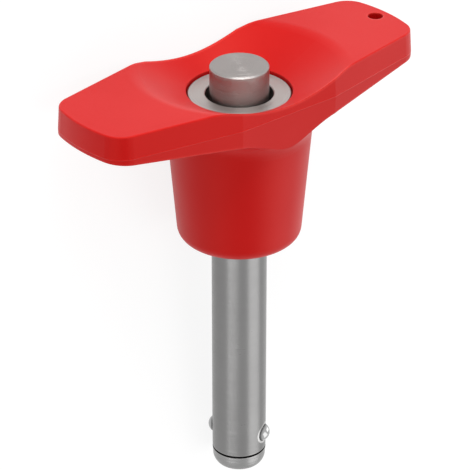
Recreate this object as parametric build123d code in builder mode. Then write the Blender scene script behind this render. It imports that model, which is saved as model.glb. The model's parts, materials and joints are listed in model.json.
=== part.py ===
from build123d import *
from math import asin, atan2, cos, hypot, radians, sin, tan
import os

os.makedirs("parts", exist_ok=True)

# Ball lock pin with a T-handle, in millimetres.  Heights are measured along the pin's axis from the
# handle's shoulder: positive towards the push button, negative towards the nose.  The pin is drawn
# lying on its side, as it rests on a table, with its axis near +Y and its wings along X.

# ---- Driving dimensions ------------------------------------------------------------------------
# shank
shank_dia = 10.0               # fits the user's hole
grip_length = 40.0             # from the shoulder to where the balls bear
sleeve_bore_dia = 6.1          # bore for the spindle
sleeve_seat_dia = 9.0          # turned down where the handle and the cup grip it
sleeve_entry = 0.15            # how far the full diameter sits in the handle's face
pilot_taper = 0.3              # degrees, of the sleeve's end beyond the grip
sleeve_above_shoulder = 12.0   # how far the sleeve runs up inside the handle
running_clearance = 0.05       # radial clearance of every running fit

# locking balls
ball_dia = 3.5
ball_reach = 1.0               # how far a locked ball stands out of the shank
ball_count = 2
ball_turn = -60.0              # the balls' line against the wings, about the pin's axis
ball_hide = 0.05               # depth of a released ball below the shank's surface

# spindle with its nose
button_stroke = 4.5
sleeve_past_balls = 3.4        # from the balls' centres to the sleeve's end
nose_groove_width = 0.4        # between the sleeve's end and the nose
nose_groove_depth = 0.8
nose_band = 1.2                # nearly straight part of the nose
nose_taper = 4.0               # degrees, of that part
nose_length = 2.9              # from the groove to the end face
nose_round_radius = 2.4
neck_length = 1.6              # straight neck between the ramp and the guiding land
land_length = 5.0              # runs in the sleeve's bore
rod_dia = 4.0                  # above the land, up to the button

# push button
button_dia = 10.5
button_height = 12.0
button_proud = 0.1             # above the wings' tops
button_roof = 3.0              # metal above the spindle's end
button_skirt_height = 2.0
button_bevel = 0.26

# guide cup, pressed on the sleeve
cup_flange_dia = 18.4
cup_flange_thickness = 3.0
cup_bore_dia = 12.0
cup_barrel_dia = 16.4
cup_floor_thickness = 3.0
cup_below_wings = 5.14         # from the wings' tops down to the cup's face
cup_bevel = 0.2

# return spring
spring_wire = 0.8              # square wire
spring_mean_dia = 8.8
spring_turns = 4.0
spring_grind = 0.2             # ground off each end of the coil

# T-handle
handle_height = 33.48          # from the shoulder to the wings' tops
handle_length = 70.4
wing_centre_width = 27.1       # at the parting line
wing_taper = 10.3              # degrees, on each side
wing_straight = 10.5           # half the length of the untapered middle
wing_corner_radius = 4.6
wing_end_radius = 28.0         # of the bowed end faces
parting_below_top = 4.2        # the mould's parting line on the side walls
upper_draft = 3.5              # degrees
lower_draft = 1.5
wing_root_depth = 7.5          # from the wings' tops to their undersides, at the belly's edge
wing_slope = 5.8               # degrees, of the undersides
belly_half_length = 10.0
wing_edge_round = 0.3          # along the top edges
dish_slope = 27.0              # degrees, of the dished seat round the button
dish_crest_radius = 5.0
dish_lip = 0.4                 # plastic standing above the cup's face
cup_gap = 0.2                  # round the cup's flange
boss_dia = 22.1                # at the shoulder
boss_draft = 4.9               # degrees
boss_edge_round = 2.3
boss_flare_radius = 5.2        # blend from the boss into the undersides
lanyard_hole_dia = 2.8
lanyard_hole_inset = 3.1       # from the wing's end

# ---- Radii and heights worked out from them ----------------------------------------------------
shank_r = shank_dia / 2
seat_r = sleeve_seat_dia / 2
ball_r = ball_dia / 2
ball_seat_r = ball_r + running_clearance
locked_r = shank_r + ball_reach - ball_r        # a locked ball's centre, out from the axis
released_r = shank_r - ball_hide - ball_r       # a released ball's centre
ball_travel = locked_r - released_r
ball_z = -(grip_length + (ball_r**2 - (shank_r - locked_r) ** 2) ** 0.5)

sleeve_bore_r = sleeve_bore_dia / 2
sleeve_end_z = ball_z - sleeve_past_balls
sleeve_top_z = sleeve_above_shoulder
nose_top_z = sleeve_end_z - nose_groove_width
nose_end_z = nose_top_z - nose_length

# The sleeve tapers a little beyond the grip, and the nose carries the taper on.
pilot_z = ball_z + ball_seat_r
pilot_end_r = shank_r - (pilot_z - sleeve_end_z) * tan(radians(pilot_taper))
groove_r = shank_r - nose_groove_depth
nose_round_z = nose_top_z - nose_band
nose_r = pilot_end_r - nose_band * tan(radians(nose_taper))
nose_drop = nose_round_z - nose_end_z
nose_tip_r = nose_r - nose_round_radius + (nose_round_radius**2 - nose_drop**2) ** 0.5

# The ramp under each ball falls by the ball's travel over the button's stroke.
spindle_r = sleeve_bore_r - running_clearance
rod_r = rod_dia / 2
ramp_angle = atan2(ball_travel, button_stroke)
ramp_r_at_ball = locked_r - ball_r / cos(ramp_angle)
ramp_foot_z = ball_z - (spindle_r - ramp_r_at_ball) / tan(ramp_angle)
ramp_top_z = ball_z + button_stroke + ball_r * sin(ramp_angle)
neck_r = ramp_r_at_ball - (ramp_top_z - ball_z) * tan(ramp_angle)
neck_top_z = ramp_top_z + neck_length
land_z = neck_top_z + spindle_r - neck_r
land_top_z = land_z + land_length

cup_face_z = handle_height - cup_below_wings
cup_flange_z = cup_face_z - cup_flange_thickness
cup_bottom_z = sleeve_top_z - cup_floor_thickness
cup_bore_r = cup_bore_dia / 2
button_r = button_dia / 2
button_top_z = handle_height + button_proud
button_bottom_z = button_top_z - button_height
button_skirt_z = button_bottom_z + button_skirt_height
spindle_top_z = button_top_z - button_roof

half_length = handle_length / 2
half_width = wing_centre_width / 2
lanyard_hole_reach = half_length - lanyard_hole_inset
parting_z = handle_height - parting_below_top
belly_edge_z = handle_height - wing_root_depth
boss_r = boss_dia / 2
boss_top_r = boss_r + parting_z * tan(radians(boss_draft))
dish_floor_z = cup_face_z + dish_lip
dish_r = cup_flange_dia / 2 + cup_gap

# the undersides, seen across the handle: a shallow belly between two slopes
slope = radians(wing_slope)
wing_tip_z = belly_edge_z + (half_length - belly_half_length) * tan(slope)
belly_z = belly_edge_z - belly_half_length * tan(slope / 2)

# The boss's bend into the belly is cut off by the side walls, at their lowest point.
bend_z = belly_z - boss_flare_radius
bend_r = boss_r + bend_z * tan(radians(boss_draft)) + boss_flare_radius / cos(radians(boss_draft))
wall_draft = radians(lower_draft)
wall_gap = (bend_r - half_width + (parting_z - bend_z) * tan(wall_draft)) * cos(wall_draft)
wall_gap = min(max(wall_gap, 0), boss_flare_radius)
wall_foot_z = bend_z + wall_gap * sin(wall_draft) + cos(wall_draft) * (boss_flare_radius**2 - wall_gap**2) ** 0.5
wall_foot_r = half_width - (parting_z - wall_foot_z) * tan(wall_draft)

# ---- How the pin lies --------------------------------------------------------------------------
# It touches the table at the foot of one side wall and at the boss's rounded edge.
edge_centre_r = boss_r - boss_edge_round * (1 - sin(radians(boss_draft))) / cos(radians(boss_draft))
contact_r = wall_foot_r - edge_centre_r
contact_z = wall_foot_z - boss_edge_round
lean = atan2(contact_r, contact_z) - asin(boss_edge_round / hypot(contact_r, contact_z))
axis_height = wall_foot_r * cos(lean) - wall_foot_z * sin(lean)

top_half_width = half_width - parting_below_top * tan(radians(upper_draft))
button_end_y = handle_height * cos(lean) + (top_half_width - wing_edge_round) * sin(lean)
nose_end_y = nose_end_z * cos(lean) - nose_tip_r * sin(lean)
axis_y = -(button_end_y + nose_end_y) / 2

# The pin's own planes: x along the wings, z up the axis towards the button.
pin = Plane(origin=(0, axis_y, axis_height), x_dir=(1, 0, 0), z_dir=(0, cos(lean), sin(lean)))
section = Plane(origin=pin.origin, x_dir=pin.x_dir, z_dir=-pin.y_dir)   # x out, y up the axis
pin_axis = Axis(pin.origin, pin.z_dir)


def facing_out(turn, height):
    """The plane through the axis at a height, its normal pointing out at a turn about the axis."""
    out = pin.x_dir * cos(radians(turn)) + pin.y_dir * sin(radians(turn))
    return Plane(origin=pin.origin + pin.z_dir * height, x_dir=pin.z_dir, z_dir=out)


def height_of(shape):
    """The height of a shape's centre along the pin's axis."""
    return pin.to_local_coords(shape.center()).Z


ball_turns = [ball_turn + 360 * number / ball_count for number in range(ball_count)]


# ---- Handle: one moulding, a round boss carrying two wings --------------------------------------
corner_w = half_width - (half_length - wing_straight) * tan(radians(wing_taper))
end_x = half_length - wing_end_radius + (wing_end_radius**2 - corner_w**2) ** 0.5

with BuildSketch(pin.offset(parting_z)) as wing_outline:
    with BuildLine():
        Polyline((0, -half_width), (wing_straight, -half_width), (end_x, -corner_w))
        ThreePointArc((end_x, -corner_w), (half_length, 0), (end_x, corner_w))
        Polyline((end_x, corner_w), (wing_straight, half_width), (0, half_width), (0, -half_width))
    make_face()
    fillet(wing_outline.vertices().group_by(Axis.X)[-1], wing_corner_radius)
    mirror(about=Plane.YZ)

with BuildPart() as handle:
    with BuildSketch(section):
        with BuildLine():
            Line((0, belly_z), (0, parting_z))
            Polyline((0, parting_z), (half_length, parting_z), (half_length, wing_tip_z))
            Line((half_length, wing_tip_z), (belly_half_length, belly_edge_z))
            TangentArc(
                (belly_half_length, belly_edge_z), (0, belly_z), tangent=(-cos(slope), -sin(slope))
            )
        make_face()
        mirror(about=Plane.YZ)
    extrude(amount=boss_top_r + 2 * boss_flare_radius, both=True)

    # the boss, with a wide bend into the undersides
    with BuildSketch(section) as boss_section:
        with BuildLine():
            Polyline((0, 0), (boss_r, 0), (boss_top_r, parting_z), (0, parting_z), (0, 0))
        make_face()
        fillet(boss_section.vertices().sort_by_distance((boss_r, 0))[0], boss_edge_round)
    revolve(axis=pin_axis)
    boss_side = handle.faces().filter_by(GeomType.CONE).sort_by(SortBy.AREA)[-1]
    fillet(boss_side.edges().filter_by(lambda edge: height_of(edge) > belly_z - 1), boss_flare_radius)

    # side walls, drafted both ways from the parting line
    extrude(wing_outline.sketch, amount=parting_z + 1, dir=-pin.z_dir, taper=lower_draft, mode=Mode.INTERSECT)
    extrude(wing_outline.sketch, amount=parting_below_top, dir=pin.z_dir, taper=upper_draft)
    fillet(handle.faces().sort_by(pin_axis)[-1].edges(), wing_edge_round)

    # the dish round the button, with a soft crest
    crest_r = dish_r + (handle_height - dish_floor_z) / tan(radians(dish_slope))
    with BuildSketch(section) as dish_section:
        with BuildLine():
            Polyline((0, dish_floor_z), (dish_r, dish_floor_z), (crest_r, handle_height))
            Polyline((crest_r, handle_height), (half_length, handle_height), (half_length, button_top_z))
            Polyline((half_length, button_top_z), (0, button_top_z), (0, dish_floor_z))
        make_face()
        crest = dish_section.vertices().sort_by_distance((crest_r, handle_height))[0]
        fillet(crest, dish_crest_radius)
    revolve(axis=pin_axis, mode=Mode.SUBTRACT)

    # bores for the sleeve, the cup's barrel and its flange
    for radius, bottom, top in (
        (shank_r, 0, sleeve_entry),
        (seat_r, 0, cup_bottom_z),
        (cup_barrel_dia / 2, cup_bottom_z, cup_flange_z),
        (dish_r, cup_flange_z, handle_height),
    ):
        with BuildSketch(pin.offset(bottom)):
            Circle(radius)
        extrude(amount=top - bottom, mode=Mode.SUBTRACT)

    with BuildSketch(pin):
        with Locations((lanyard_hole_reach, 0)):
            Circle(lanyard_hole_dia / 2)
    extrude(amount=button_top_z, mode=Mode.SUBTRACT)
handle.part.label = "handle"
export_step(handle.part, "parts/handle.step")


# ---- Guide cup: a turned steel cup, pressed on the sleeve and seated in the handle ----------------
with BuildPart() as guide_cup:
    with BuildSketch(section):
        with BuildLine():
            Polyline(
                (seat_r, cup_bottom_z),
                (cup_barrel_dia / 2, cup_bottom_z),
                (cup_barrel_dia / 2, cup_flange_z),
                (cup_flange_dia / 2, cup_flange_z),
                (cup_flange_dia / 2, cup_face_z),
                (cup_bore_r, cup_face_z),
                (cup_bore_r, sleeve_top_z),
                (seat_r, sleeve_top_z),
                (seat_r, cup_bottom_z),
            )
        make_face()
    revolve(axis=pin_axis)
    face = guide_cup.faces().filter_by(Plane(pin.origin, z_dir=pin.z_dir)).sort_by(pin_axis)[-1]
    chamfer(face.edges(), cup_bevel)
guide_cup.part.label = "guide_cup"
export_step(guide_cup.part, "parts/guide_cup.step")


# ---- Shank sleeve: a steel tube with a caged seat for each ball ----------------------------------
with BuildPart() as shank_sleeve:
    with BuildSketch(section):
        with BuildLine():
            Polyline(
                (sleeve_bore_r, sleeve_end_z),
                (pilot_end_r, sleeve_end_z),
                (shank_r, pilot_z),
                (shank_r, sleeve_entry),
                (seat_r, sleeve_entry),
                (seat_r, sleeve_top_z),
                (sleeve_bore_r, sleeve_top_z),
                (sleeve_bore_r, sleeve_end_z),
            )
        make_face()
    revolve(axis=pin_axis)
    for turn in ball_turns:
        seat = facing_out(turn, ball_z)
        with BuildSketch(seat):
            Circle(ball_seat_r)
        extrude(amount=locked_r, mode=Mode.SUBTRACT)
        with Locations(seat.offset(locked_r)):
            Sphere(ball_seat_r, mode=Mode.SUBTRACT)
shank_sleeve.part.label = "shank_sleeve"
export_step(shank_sleeve.part, "parts/shank_sleeve.step")


# ---- Spindle: one turned piece, with the nose, the ramp under the balls and the neck -------------
with BuildPart() as spindle:
    with BuildSketch(section):
        with BuildLine():
            Polyline(
                (0, nose_end_z),
                (0, spindle_top_z),
                (rod_r, spindle_top_z),
                (rod_r, land_top_z),
                (spindle_r, land_top_z),
                (spindle_r, land_z),
                (neck_r, neck_top_z),
                (neck_r, ramp_top_z),
                (spindle_r, ramp_foot_z),
                (spindle_r, sleeve_end_z),
                (groove_r, sleeve_end_z),
                (groove_r, nose_top_z),
                (pilot_end_r, nose_top_z),
                (nose_r, nose_round_z),
            )
            TangentArc((nose_r, nose_round_z), (nose_tip_r, nose_end_z), tangent=(0, -1))
            Line((nose_tip_r, nose_end_z), (0, nose_end_z))
        make_face()
    revolve(axis=pin_axis)
spindle.part.label = "spindle"
export_step(spindle.part, "parts/spindle.step")


# ---- Locking balls -------------------------------------------------------------------------------
for number, turn in enumerate(ball_turns, start=1):
    with BuildPart(facing_out(turn, ball_z).offset(locked_r)) as ball:
        Sphere(ball_r)
    ball.part.label = f"locking_ball_{number}"
    export_step(ball.part, f"parts/locking_ball_{number}.step")


# ---- Push button: screwed on the spindle's end, its skirt guided by the cup ----------------------
with BuildPart() as push_button:
    with BuildSketch(pin.offset(button_bottom_z)):
        Circle(button_r)
    extrude(amount=button_height)
    crown = push_button.faces().sort_by(pin_axis)[-1]
    chamfer(crown.edges(), button_bevel)
    with BuildSketch(pin.offset(button_bottom_z)):
        Circle(cup_bore_r - running_clearance)
    extrude(amount=button_skirt_height)
    with BuildSketch(pin.offset(button_bottom_z)):
        Circle(rod_r)
    extrude(amount=spindle_top_z - button_bottom_z, mode=Mode.SUBTRACT)
push_button.part.label = "push_button"
export_step(push_button.part, "parts/push_button.step")


# ---- Return spring: between the cup's floor and the button, its ends ground flat ------------------
coil_start_z = sleeve_top_z + spring_wire / 2 - spring_grind
coil_end_z = button_bottom_z - spring_wire / 2 + spring_grind
coil_height = coil_end_z - coil_start_z
coil = Edge.make_helix(
    pitch=coil_height / spring_turns,
    height=coil_height,
    radius=spring_mean_dia / 2,
    center=pin.origin + pin.z_dir * coil_start_z,
    normal=pin.z_dir,
)

with BuildPart() as return_spring:
    with BuildSketch(Plane(origin=coil @ 0, z_dir=coil % 0)):
        Rectangle(spring_wire, spring_wire)
    sweep(path=coil, is_frenet=True)
    with BuildSketch(pin.offset(sleeve_top_z)):
        Circle(spring_mean_dia / 2 + spring_wire)
    extrude(amount=button_bottom_z - sleeve_top_z, mode=Mode.INTERSECT)
return_spring.part.label = "return_spring"
export_step(return_spring.part, "parts/return_spring.step")
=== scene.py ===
# %% [markdown]
# # A ball lock pin with a red T-handle
#
# A ball lock pin is pushed through a hole and held there by two balls near its nose. Pressing the
# button in its handle lets the balls fall inwards, so that the pin can be pulled out again.
#
# The imported model is loaded as a fixed frame: every solid is where the maker's drawing puts it. This script
# dresses the solids with finishes, winds a coil in the place of the drawn spring, and adds a table, lamps and a
# camera. Everything is in metres, with the pin lying on the table at height zero.

# %% Load the frame
import json
from math import cos, degrees, radians, sin

import bpy
from mathutils import Matrix, Vector


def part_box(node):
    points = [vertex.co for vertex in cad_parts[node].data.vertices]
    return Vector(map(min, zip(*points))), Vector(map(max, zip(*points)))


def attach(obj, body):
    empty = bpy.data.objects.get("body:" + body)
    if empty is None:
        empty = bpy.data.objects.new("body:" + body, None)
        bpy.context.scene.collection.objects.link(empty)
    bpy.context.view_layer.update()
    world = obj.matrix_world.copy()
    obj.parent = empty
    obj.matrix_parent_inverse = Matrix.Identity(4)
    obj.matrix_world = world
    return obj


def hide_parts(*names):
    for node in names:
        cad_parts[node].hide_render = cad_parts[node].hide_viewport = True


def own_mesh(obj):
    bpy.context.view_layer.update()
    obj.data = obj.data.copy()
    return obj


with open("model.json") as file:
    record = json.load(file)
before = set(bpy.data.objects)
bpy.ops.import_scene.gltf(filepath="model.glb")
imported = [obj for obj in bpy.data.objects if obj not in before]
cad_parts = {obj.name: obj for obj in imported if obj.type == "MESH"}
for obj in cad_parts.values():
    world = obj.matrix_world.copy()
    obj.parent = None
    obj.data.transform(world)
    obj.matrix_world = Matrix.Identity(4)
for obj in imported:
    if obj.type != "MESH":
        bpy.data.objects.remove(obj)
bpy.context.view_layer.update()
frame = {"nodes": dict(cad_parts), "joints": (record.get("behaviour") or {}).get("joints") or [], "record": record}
print("solids:", sorted(frame["nodes"]))

# %% [markdown]
# ## The pin's own directions
#
# The pin lies with its axis tilted a few degrees, because a T-handle rests on its boss and on one
# edge of its wings. The turned marks, the parting line and the lamps all follow that axis. Its angle
# could be written down here, but the record holds it already, as a mount is a point with a
# direction, so it is read from there and can't disagree. Three directions come out of it: along the
# wings, to the table, and up the axis towards the button. Heights along the pin are taken from its
# shoulder, the flat end of the boss round the shank.

# %% Directions along the pin
mounts = {mount["name"]: mount for mount in frame["record"]["mounts"]}
up_the_axis = -Vector(mounts["shoulder"]["axis"]).normalized()
along_wings = Vector((1, 0, 0))
to_the_table = up_the_axis.cross(along_wings)
pin_frame = Matrix((along_wings, to_the_table, up_the_axis)).transposed()

on_the_axis = Vector(mounts["shank"]["pos_m"])
to_shoulder = (Vector(mounts["shoulder"]["pos_m"]) - on_the_axis).dot(up_the_axis)
shoulder = on_the_axis + up_the_axis * to_shoulder
print("the pin leans", round(90 - degrees(up_the_axis.angle(Vector((0, 0, 1)))), 2), "degrees")

# %% [markdown]
# ## Camera
#
# The camera looks down on the handle from one corner. It is half a metre away, which keeps the
# wings' edges nearly parallel, so it takes a long lens to fill the render with the pin. Its angles
# could be taken round the table's upright, but then the lying pin would lie in the render too. They
# are taken round the pin's axis, so the camera is rolled and the pin stands upright. A camera looks
# along its own minus Z, so its three directions are right, up and back.

# %% Camera
camera_distance = 0.500
camera_turn = radians(39.95)
camera_height = radians(29.2)
aim_below_shoulder = 0.00035
aim_aside = 0.00076
lens_mm = 212.55

camera_right = pin_frame @ Vector((cos(camera_turn), -sin(camera_turn), 0))
camera_back = pin_frame @ Vector(
    (-sin(camera_turn) * cos(camera_height), -cos(camera_turn) * cos(camera_height), sin(camera_height))
)
camera_up = camera_back.cross(camera_right)
camera_aim = shoulder - up_the_axis * aim_below_shoulder - camera_right * aim_aside

camera_data = bpy.data.cameras.new("camera")
camera_data.lens = lens_mm
camera_data.sensor_width = 36
camera_data.clip_start = 0.01
camera = bpy.data.objects.new("camera", camera_data)
bpy.context.scene.collection.objects.link(camera)
camera_turned = Matrix((camera_right, camera_up, camera_back)).transposed().to_4x4()
camera.matrix_world = Matrix.Translation(camera_aim + camera_back * camera_distance) @ camera_turned
bpy.context.scene.camera = camera
print("camera at", [round(value, 3) for value in camera.matrix_world.translation])

# %% [markdown]
# ## Shader maths as plain expressions
#
# A procedural finish is arithmetic on coordinates. In the shader editor every sum is a Math node
# that is placed and wired by hand, and a long chain of them is hard to follow. This small class
# wraps a node's output instead, so that `1 - mask` or `a * 0.5 + b` adds its Math nodes by itself.


# %% A socket that does sums
class Socket:
    """A node's output that can be added, subtracted and multiplied like a number."""

    def __init__(self, tree, output):
        self.tree = tree
        self.output = output

    def __add__(self, other):
        return self.tree.math("ADD", self, other)

    def __sub__(self, other):
        return self.tree.math("SUBTRACT", self, other)

    def __rsub__(self, other):
        return self.tree.math("SUBTRACT", other, self)

    def __mul__(self, other):
        return self.tree.math("MULTIPLY", self, other)

    __radd__ = __add__
    __rmul__ = __mul__


print("a socket takes + - and *, with a socket or a number on either side")

# %% [markdown]
# ## One method for every other node
#
# Noises, mixers and shaders all have a kind, some settings and some sockets, so one method can add
# any of them. The settings go first, because they decide which sockets a node has. Materials and the
# world both hold a tree of nodes, and both use this class.


# %% A tree of nodes
class NodeTree:
    """The nodes of a material or of the world."""

    def __init__(self, owner):
        owner.use_nodes = True
        self.nodes = owner.node_tree.nodes
        self.links = owner.node_tree.links

    def node(self, kind, settings, values, output=0):
        """Adds a node: its settings first, then each socket's value or link."""
        new = self.nodes.new(kind)
        for name, value in settings.items():
            setattr(new, name, value)
        for name, value in values.items():
            self.feed(new.inputs[name], value)
        return Socket(self, new.outputs[output])

    def feed(self, socket, value):
        """Links a socket to another one, or gives it a constant."""
        if isinstance(value, Socket):
            self.links.new(value.output, socket)
        else:
            socket.default_value = value

    def math(self, operation, *values):
        return self.node("ShaderNodeMath", {"operation": operation}, dict(enumerate(values)))


print("a node is added by its kind, settings and sockets")

# %% [markdown]
# ## What every finish has
#
# A finish is a material: a tree of nodes that ends in the Principled shader and starts at a point's
# place on the piece. That place is read in Object coordinates, in metres, so grain and marks have
# true sizes and stay on a piece that moves. The nodes that nearly every finish needs get short
# names here.


# %% A finish and its usual nodes
class Finish(NodeTree):
    """A material whose Principled shader is driven by expressions."""

    def __init__(self, name):
        self.material = bpy.data.materials.new(name)
        super().__init__(self.material)
        self.shader = self.nodes["Principled BSDF"]
        self.place = self.node("ShaderNodeTexCoord", {}, {}, "Object")

    def set(self, **values):
        """Sets or links the shader's own sockets: base_color becomes Base Color."""
        for name, value in values.items():
            self.feed(self.shader.inputs[name.replace("_", " ").title().replace("Ior", "IOR")], value)

    def noise(self, where, per_metre, detail, roughness=0.5):
        """Soft random values round one half, so many to the metre."""
        values = {"Vector": where, "Scale": per_metre, "Detail": detail, "Roughness": roughness}
        return self.node("ShaderNodeTexNoise", {}, values)

    def rise(self, value, start, full):
        """Zero at the start value, one at the full one, straight between and flat outside."""
        return self.node("ShaderNodeMapRange", {}, {"Value": value, "From Min": start, "From Max": full})

    def mix(self, factor, colour_a, colour_b):
        values = {0: factor, 6: colour_a, 7: colour_b}
        return self.node("ShaderNodeMix", {"data_type": "RGBA"}, values, 2)

    def bump(self, height, distance, strength, normal):
        values = {"Height": height, "Distance": distance, "Strength": strength, "Normal": normal}
        return self.node("ShaderNodeBump", {}, values)


print("a finish adds noise, rise, mix and bump by name")

# %% [markdown]
# ## Where the light catches an edge
#
# No real edge is knife sharp: a fraction of a millimetre is always broken off, and it glints. It
# could be modelled on every solid, but the Bevel node gives the same glint through the normal alone.
# To know how near an edge is, the Ambient Occlusion node looks inwards: deep inside a flat wall it meets nothing,
# and by an edge it meets the wall next door. There the finishes paint a paler colour as a painted highlight along
# the edge, which on the plastic is also broken up like scuffed wear.

# %% Rounded edges and how near they are
edge_starts = 0.12     # the share of inward rays that meet a wall
edge_is_full = 0.50


def soft_edge(finish, radius, edge_reach):
    """The normal of an edge rounded by the radius, and a mask that is one near an edge, where a highlight is
    painted.
    """
    rounded = finish.node("ShaderNodeBevel", {"samples": 8}, {"Radius": radius})
    looks_in = {"inside": True, "samples": 12}
    open_inside = finish.node("ShaderNodeAmbientOcclusion", looks_in, {"Distance": edge_reach}, "AO")
    return rounded, finish.rise(1 - open_inside, edge_starts, edge_is_full)


print("an edge starts where", edge_starts, "of the inward rays meet a wall")

# %% [markdown]
# ## Where a point lies on the pin
#
# Lathe marks, grease and the parting line all go by two numbers: how far a point is from the pin's
# axis, and how high it is above the shoulder. The Mapping node turns the piece's own coordinates
# until Z runs up the axis, and the rest is Pythagoras.


# %% Distance from the axis and height along it
def pin_place(finish):
    """A point's distance from the axis and its height above the shoulder."""
    upright = pin_frame.transposed()
    values = {
        "Vector": finish.place,
        "Location": -(upright @ shoulder),
        "Rotation": upright.to_euler("XYZ"),
    }
    place = finish.node("ShaderNodeMapping", {"vector_type": "POINT"}, values)
    out_x, out_y, height = (finish.node("ShaderNodeSeparateXYZ", {}, {0: place}, axis) for axis in "XYZ")
    return finish.math("SQRT", out_x * out_x + out_y * out_y), height


print("heights start at", [round(value, 4) for value in shoulder])

# %% [markdown]
# ## Red handle plastic
#
# Such handles are moulded in glass-filled polyamide. A spark-eroded mould leaves a fine grain on the plastic, the
# melt cools unevenly and stays faintly cloudy, and use scuffs the edges. The edges also get a painted highlight, a
# paler red broken up by the scuff noise.
# An image could carry all this, but noises at three sizes give it without a seam, at any closeness.

# %% Grain, cloud, scuffs and painted edge highlight
grain_per_metre = 4200.0
cloud_per_metre = 60.0
scuff_per_metre = 520.0
red_edge_radius = 0.00030
red_edge_reach = 0.00060

red = Finish("red_handle_plastic")
red_rounded, red_edge = soft_edge(red, red_edge_radius, red_edge_reach)
grain = red.noise(red.place, grain_per_metre, 2.0)
cloud = red.noise(red.place, cloud_per_metre, 3.0)
scuff = red.noise(red.place, scuff_per_metre, 5.0, roughness=0.65)
# Painted highlight along the edges, broken up by scuffs; it also makes the edges a little glossier.
edge_highlight_and_scuff = red_edge * (scuff * 0.9 + 0.3)
print("grain every", round(1000 / grain_per_metre, 2), "mm")

# %% [markdown]
# ### Parting line
#
# The two halves of the mould meet round the wings' walls and leave a thin raised line. It is too low to model, so
# it is bumped at its height and painted paler there, as the highlight that it catches. The dish round the button
# crosses the same height but comes from one half alone, so the line starts outside it.

# %% Parting line
parting_height = 0.02928
parting_width = 0.00014
parting_from_axis = 0.0128

red_radius, red_height = pin_place(red)
from_line = red.math("ABSOLUTE", red_height - parting_height)
on_wall = red.math("GREATER_THAN", red_radius, parting_from_axis)
# The line's mask: it is bumped, and painted paler as a highlight.
line = red.rise(from_line, parting_width, 0.0) * on_wall
print("the mould parts", round(parting_height * 1000, 2), "mm above the shoulder")

# %% [markdown]
# ### The plastic put together
#
# Each noise now drives what it drives on the real skin: cloud the colour and the gloss, grain the gloss and the
# bump, and scuffs the gloss of the edges. The edges and the parting line are also painted a paler red, as painted
# highlights. What shines back square on is tinted red, because the skin of the plastic is slightly clear, and at a
# low angle it is white.

# %% Red plastic
red_body = (0.520, 0.0035, 0.0040, 1)
red_cloud = (0.455, 0.0028, 0.0032, 1)
# Paler red painted on the edges and along the parting line as their highlight.
red_painted_highlight = (0.720, 0.0450, 0.0380, 1)
red_glance = (1.0, 0.20, 0.15, 1)
red_roughness = 0.34
grain_depth = 0.000014
line_depth = 0.00006

clouded = red.mix(cloud * 0.8, red_body, red_cloud)
grained = red.bump(grain, grain_depth, 0.30, red_rounded)
red.set(
    # Painted highlights: paler red along the edges and the parting line.
    base_color=red.mix(edge_highlight_and_scuff * 0.75 + line * 0.30, clouded, red_painted_highlight),
    roughness=cloud * 0.10 + grain * 0.10 - edge_highlight_and_scuff * 0.08 + red_roughness,
    specular_ior_level=0.50,
    specular_tint=red_glance,
    normal=red.bump(line, line_depth, 0.8, grained),
)
print("red plastic:", len(red.nodes), "nodes")

# %% [markdown]
# ## Scratches too fine to see
#
# Turned and ground metal is covered in scratches finer than a hair. One by one they don't show, but
# they draw a highlight out across themselves. Bump can't carry marks so fine, so the normal itself
# is leaned to and fro across them. The marks run round the pin, so their direction at a point is
# square to the axis and to the line from the shoulder.


# %% Leaning the normal across the marks
def vector(finish, operation, *values):
    return finish.node("ShaderNodeVectorMath", {"operation": operation}, dict(enumerate(values)))


def grooved(finish, normal, lean):
    """The normal leaned by a share of itself, across the marks that run round the pin."""
    from_shoulder = vector(finish, "SUBTRACT", finish.place, tuple(shoulder))
    along_marks = vector(finish, "CROSS_PRODUCT", tuple(up_the_axis), from_shoulder)
    across_marks = vector(finish, "CROSS_PRODUCT", vector(finish, "NORMALIZE", along_marks), normal)
    scaled = {0: across_marks, "Scale": lean}
    leaned = finish.node("ShaderNodeVectorMath", {"operation": "SCALE"}, scaled)
    return vector(finish, "NORMALIZE", vector(finish, "ADD", normal, leaned))


print("marks run round", [round(value, 3) for value in up_the_axis])

# %% [markdown]
# ## Turned and ground steel
#
# A lathe leaves rings: round a cylinder they run about the axis, and on an end face they are concentric. Distance
# from the axis and height along it, read as the two coordinates of one noise, give both, where an image of
# scratches would need a layout for every face. Broad bands, stains and flecks keep the metal from looking even,
# and a paler steel is painted along the edges as their highlight.

# %% Steel, one recipe for several pieces
ring_per_metre = 7000.0
band_per_metre = ring_per_metre / 9
scratch_per_metre = 45000.0
stain_per_metre = 170.0
fleck_per_metre = 2600.0
steel_edge_radius = 0.00015
steel_edge_reach = 0.00030
# Paler steel painted on the edges as their highlight.
steel_edge_highlight = (0.62, 0.61, 0.60, 1)


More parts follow.
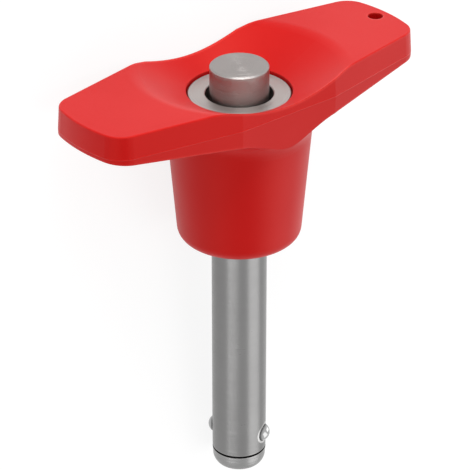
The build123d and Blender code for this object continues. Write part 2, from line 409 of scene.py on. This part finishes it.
class Steel(Finish):
    """Metal with the lathe's or the grinding wheel's marks running round the pin."""

    def __init__(self, name, colour, dull_colour, mark_depth, roughness, spread, tilt, banded=0.3):
        super().__init__(name)
        self.radius, self.height = pin_place(self)
        across = self.node("ShaderNodeCombineXYZ", {}, {0: self.radius, 1: self.height, 2: 0.0})
        rings = self.noise(across, ring_per_metre, 3.0)
        bands = self.noise(across, band_per_metre, 2.0)
        scratches = self.noise(across, scratch_per_metre, 1.0)
        stain = self.noise(self.place, stain_per_metre, 4.0)
        fleck = self.noise(self.place, fleck_per_metre, 2.0)
        marks = rings * (1 - banded) + bands * banded
        rounded, edge = soft_edge(self, steel_edge_radius, steel_edge_reach)
        dulled = self.mix(marks * 0.55 + stain * 0.45, colour, dull_colour)
        # Painted highlight: a paler steel along every edge.
        self.colour = self.mix(edge * 0.7, dulled, steel_edge_highlight)
        scratched = grooved(self, rounded, (scratches - 0.5) * tilt)
        self.set(
            base_color=self.colour,
            metallic=1.0,
            roughness=marks * spread + stain * (spread * 0.6) + fleck * 0.04 + roughness,
            normal=self.bump(marks, mark_depth, 0.6, scratched),
        )
        print(name, "has", len(self.nodes), "nodes")


print("rings every", round(1000 / ring_per_metre, 2), "mm")

# %% [markdown]
# ### Shank
#
# The shank is hardened and then ground between two wheels, to slide in its hole. It looks the
# greyest, and its marks are so shallow that they show only as a soft gloss.

# %% Ground shank
shank_steel = Steel(
    "ground_shank_steel",
    colour=(0.235, 0.233, 0.231, 1),
    dull_colour=(0.180, 0.178, 0.177, 1),
    mark_depth=0.000012,
    roughness=0.20,
    spread=0.10,
    tilt=0.8,
)

# %% [markdown]
# ### Nose, button and cup
#
# These are turned, left as they come off the tool, and brighter than the shank. The button's
# fine scratches lean the normal the most, which gives its end a broad fan of light.

# %% Turned steels
nose_steel = Steel(
    "turned_nose_steel",
    colour=(0.300, 0.298, 0.296, 1),
    dull_colour=(0.235, 0.233, 0.231, 1),
    mark_depth=0.000030,
    roughness=0.18,
    spread=0.12,
    tilt=1.4,
    banded=0.5,
)
button_steel = Steel(
    "turned_button_steel",
    colour=(0.375, 0.350, 0.338, 1),
    dull_colour=(0.295, 0.273, 0.263, 1),
    mark_depth=0.000012,
    roughness=0.20,
    spread=0.12,
    tilt=3.4,
)
cup_steel = Steel(
    "turned_cup_steel",
    colour=(0.50, 0.48, 0.46, 1),
    dull_colour=(0.40, 0.38, 0.365, 1),
    mark_depth=0.000030,
    roughness=0.22,
    spread=0.14,
    tilt=1.6,
    banded=0.5,
)

# %% [markdown]
# ### Balls and spring wire
#
# The balls are bearing balls, polished nearly to a mirror, so nothing leans their normal. The wire
# is drawn through a die and never machined, and is the roughest steel of all.

# %% Ball and wire steels
ball_steel = Steel(
    "polished_ball_steel",
    colour=(0.42, 0.42, 0.42, 1),
    dull_colour=(0.38, 0.38, 0.38, 1),
    mark_depth=0.0000001,
    roughness=0.05,
    spread=0.02,
    tilt=0.0,
)
wire_steel = Steel(
    "drawn_spring_wire",
    colour=(0.30, 0.30, 0.31, 1),
    dull_colour=(0.22, 0.22, 0.225, 1),
    mark_depth=0.0000030,
    roughness=0.30,
    spread=0.14,
    tilt=0.2,
)

# %% [markdown]
# ## Painted shade in the gaps
#
# The groove between the sleeve and the nose, and the gap round each ball, are painted near black, as the shade
# that falls into them. It is mixed over the steel's colour where the height or the distance from the axis says so.

# %% Painted shade in the gaps
# Near-black painted shade for the groove and the gaps round the balls.
gap_shade = (0.020, 0.020, 0.021, 1)
gap_shade_cover = 0.85
groove_width = 0.00040
shade_fade = 0.00012
shank_radius = mounts["shank"]["dims"]["r_mm"] / 1000
sleeve_corners = frame["nodes"]["shank_sleeve"].data.vertices
groove_top = min((corner.co - shoulder).dot(up_the_axis) for corner in sleeve_corners)
groove_floor = groove_top - groove_width


def paint_gap_shade(finish, amount):
    """Mixes the painted gap shade over a finish's colour."""
    finish.colour = finish.mix(amount * gap_shade_cover, finish.colour, gap_shade)
    finish.set(base_color=finish.colour)


paint_gap_shade(shank_steel, shank_steel.rise(shank_steel.height, groove_top + shade_fade, groove_top + shade_fade / 6))
above_nose = nose_steel.rise(nose_steel.height, groove_floor - shade_fade, groove_floor)
below_sleeve = nose_steel.rise(nose_steel.height, groove_top + 5 * shade_fade, groove_top + shade_fade)
paint_gap_shade(nose_steel, above_nose * below_sleeve)
paint_gap_shade(ball_steel, ball_steel.rise(ball_steel.radius, shank_radius + 3 * shade_fade, shank_radius + shade_fade / 2))
print("the sleeve ends", round(-groove_top * 1000, 2), "mm below the shoulder")

# %% [markdown]
# ## The pressed lip round each ball
#
# Each ball is held by the lip of its hole, which is pressed in round it once the ball is home. The lip isn't
# modelled, so the highlight that it catches is painted as a narrow paler ring over the ground finish. A ring is
# what lies between two distances from the ball's centre.

# %% Painted highlight on the lips
lip_inside = 0.00172
lip_outside = 0.00215
lip_blend = 0.00010
lip_highlight_colour = (0.50, 0.495, 0.49, 1)

balls = [name for name in frame["nodes"] if name.startswith("locking_ball")]
lip = 0
for name in balls:
    low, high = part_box(name)
    both_places = {0: shank_steel.place, 1: (low + high) / 2}
    away = shank_steel.node("ShaderNodeVectorMath", {"operation": "DISTANCE"}, both_places, "Value")
    past_inside = shank_steel.rise(away, lip_inside - lip_blend, lip_inside)
    past_outside = shank_steel.rise(away, lip_outside, lip_outside + lip_blend)
    lip = lip + past_inside * (1 - past_outside)
# Painted highlight: a paler ring on the pressed lip round each ball.
shank_steel.set(base_color=shank_steel.mix(lip, shank_steel.colour, lip_highlight_colour))
print("lip rings round", len(balls), "balls")

# %% [markdown]
# ## Give every solid its finish
#
# A solid arrives with one plain material, which is taken off before the piece's own finish goes on.
# What the list doesn't name is a ball, however many balls there are.

# %% Finishes
finishes = {
    "handle": red,
    "guide_cup": cup_steel,
    "shank_sleeve": shank_steel,
    "spindle": nose_steel,
    "push_button": button_steel,
    "return_spring": wire_steel,
}
for name, solid in frame["nodes"].items():
    finish = finishes.get(name, ball_steel)
    solid.data.materials.clear()
    solid.data.materials.append(finish.material)
    print(name, "wears", finish.material.name)

# %% [markdown]
# ## Return spring
#
# The spring sits in the cup between the sleeve's top and the button, and pushes the button back up.
# The drawing keeps it as a plain square-wire coil, so a round-wire one takes its place. First its
# room is measured on the drawn one.

# %% Room for the spring
drawn_corners = frame["nodes"]["return_spring"].data.vertices
heights = [(corner.co - shoulder).dot(up_the_axis) for corner in drawn_corners]
spring_bottom = min(heights)
spring_height = max(heights) - spring_bottom
spring_seat = shoulder + up_the_axis * spring_bottom
print("the spring is", round(spring_height * 1000, 2), "mm high")

# %% [markdown]
# ### Winding it
#
# A coil could be a curve with a round bevel, but one ring of wire, swept up and round by a Screw
# modifier, is a tube from the start. The wire begins and ends outside the spring's height, so that
# there is something to grind off at both ends.

# %% Coil
spring_turns = 4
wire_radius = 0.0004
wire_sides = 14
coil_radius = 0.0044
steps_per_turn = 40

bpy.ops.object.select_all(action="DESELECT")
bpy.ops.mesh.primitive_circle_add(
    vertices=wire_sides,
    radius=wire_radius,
    location=(coil_radius, 0, -wire_radius),
    rotation=(radians(90), 0, 0),
)
spring = bpy.context.object
spring.name = "coil_spring"
bpy.ops.object.transform_apply(location=True, rotation=True, scale=True)
sweep = spring.modifiers.new("sweep", "SCREW")
sweep.angle = radians(360 * spring_turns)
sweep.screw_offset = spring_height + 2 * wire_radius
sweep.steps = sweep.render_steps = steps_per_turn * spring_turns
bpy.ops.object.modifier_apply(modifier=sweep.name)
print("coil:", spring_turns, "turns,", len(spring.data.polygons), "faces")

# %% [markdown]
# ### Grinding its ends
#
# A spring maker grinds both ends flat, so that the spring stands straight. Bisect cuts the mesh at a
# plane, drops what lies outside and fills the cut. The fill isn't clean: it doubles 16 faces and
# leaves 16 open edges in the end turns, which the cup hides.

# %% Flat ends
bpy.ops.object.mode_set(mode="EDIT")
for cut, is_bottom in ((0.0, True), (spring_height, False)):
    bpy.ops.mesh.select_all(action="SELECT")
    bpy.ops.mesh.bisect(
        plane_co=(0, 0, cut),
        plane_no=(0, 0, 1),
        use_fill=True,
        clear_inner=is_bottom,
        clear_outer=not is_bottom,
    )
bpy.ops.mesh.select_all(action="SELECT")
bpy.ops.mesh.normals_make_consistent(inside=False)
bpy.ops.object.mode_set(mode="OBJECT")
bpy.ops.object.shade_smooth_by_angle(angle=radians(40))
print("with ground ends:", len(spring.data.polygons), "faces")

# %% [markdown]
# ### Seating it
#
# The coil was wound at the world's centre. It is turned and moved into the cup, and that place is then applied to
# its mesh, as on the solids. It rides on the pin's body, and the share of its height that the button's stroke
# would leave it is printed.

# %% Spring in its place
stroke = next(joint["range_m"][1] for joint in frame["joints"] if joint["name"] == "button_press")
spring.matrix_world = Matrix.Translation(spring_seat) @ pin_frame.to_4x4()
bpy.ops.object.transform_apply(location=True, rotation=True, scale=True)
spring.data.materials.append(wire_steel.material)
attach(spring, "pin_body")
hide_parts("return_spring")
1 - stroke / spring_height
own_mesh(spring)
print("pressed, the spring keeps", round(1 - stroke / spring_height, 2), "of its height")

# %% [markdown]
# ## A white table
#
# The pin lies on white card. Lit card is never quite white and never even, and more light on it
# would bleach the pin. So the card glows for whoever looks at it, straight on or mirrored in the
# metal, and adds only a little of the light that falls on it, which is what the pin's shadow takes
# away. To all other light it is a plain matt sheet. Light Path tells the two apart.

# %% Table
table_width = 4
table_glow = 0.84     # what the card shows by itself, even in the shadow
table_shade = 0.20    # what the light adds to it outside the shadow


def looked_at(tree):
    """One for what is seen straight on, in metal or through glass, and zero for light on the rest."""
    rays = ("Is Camera Ray", "Is Glossy Ray", "Is Transmission Ray")
    return sum(tree.node("ShaderNodeLightPath", {}, {}, ray) for ray in rays)


bpy.ops.object.select_all(action="DESELECT")
bpy.ops.mesh.primitive_plane_add(size=table_width, location=(0, 0, 0))
table = bpy.context.object
table.name = "table"
card = Finish("white_table")
card.set(base_color=(0.8, 0.8, 0.8, 1), roughness=1.0, specular_ior_level=0.0)
glow = card.node("ShaderNodeEmission", {}, {"Color": (1, 1, 1, 1), "Strength": table_glow})
matt = card.node("ShaderNodeBsdfDiffuse", {}, {"Color": (table_shade, table_shade, table_shade, 1)})
white = card.node("ShaderNodeAddShader", {}, {0: glow, 1: matt})
plain = Socket(card, card.shader.outputs[0])
shown = card.node("ShaderNodeMixShader", {}, {0: looked_at(card), 1: plain, 2: white})
card.feed(card.nodes["Material Output"].inputs["Surface"], shown)
table.data.materials.append(card.material)
print("table:", table_width, "m wide")

# %% [markdown]
# ## The room round the table
#
# The world lights the pin softly from all sides, as a white room does. Seen by itself or in the
# metal it is plain white, and as light it is weaker, so that the lamps still shape the pin.

# %% World
sky_light = 0.56

world = bpy.data.worlds.new("studio")
bpy.context.scene.world = world
room = NodeTree(world)
sky = room.nodes["Background"]
brightness = {"Value": looked_at(room), "To Min": sky_light, "To Max": 1.0}
room.feed(sky.inputs["Color"], (1, 1, 1, 1))
room.feed(sky.inputs["Strength"], room.node("ShaderNodeMapRange", {}, brightness))
print("sky light on the pin:", sky_light)

# %% [markdown]
# ## Soft boxes
#
# Round metal shows its shape by the bright and dark stripes that it mirrors, so broad rectangular
# lamps stand round the pin instead of small ones. The strongest hangs beyond the button and keeps
# the tops of the wings the brightest red. One at each side draws the stripes down the shank, and one
# over the pin lights the walls that face away from the table.


# %% Lamps
def soft_box(name, where, width, height, watts):
    """A lamp facing the pin, placed along the wings, out from the table and up the axis."""
    data = bpy.data.lights.new(name, "AREA")
    data.shape = "RECTANGLE"
    data.size = width
    data.size_y = height
    data.energy = watts
    lamp = bpy.data.objects.new(name, data)
    bpy.context.scene.collection.objects.link(lamp)
    place = pin_frame @ Vector((where[0], -where[1], where[2]))
    lamp.location = shoulder + place
    lamp.rotation_euler = place.to_track_quat("Z", "Y").to_euler()
    print(name, "at", [round(value, 2) for value in lamp.location])


soft_box("top_lamp", where=(0.0, 0.12, 0.65), width=0.6, height=0.3, watts=3.9)
soft_box("right_lamp", where=(0.62, 0.18, 0.0), width=0.3, height=0.6, watts=0.93)
soft_box("left_lamp", where=(-0.55, 0.16, -0.25), width=0.2, height=0.7, watts=0.80)
soft_box("over_lamp", where=(0.18, 0.50, -0.25), width=0.40, height=0.7, watts=1.08)

# %% [markdown]
# ## Closing
#
# The Standard view shows colours as they are set, without a film's curve.

# %% Colours
bpy.context.scene.view_settings.view_transform = "Standard"
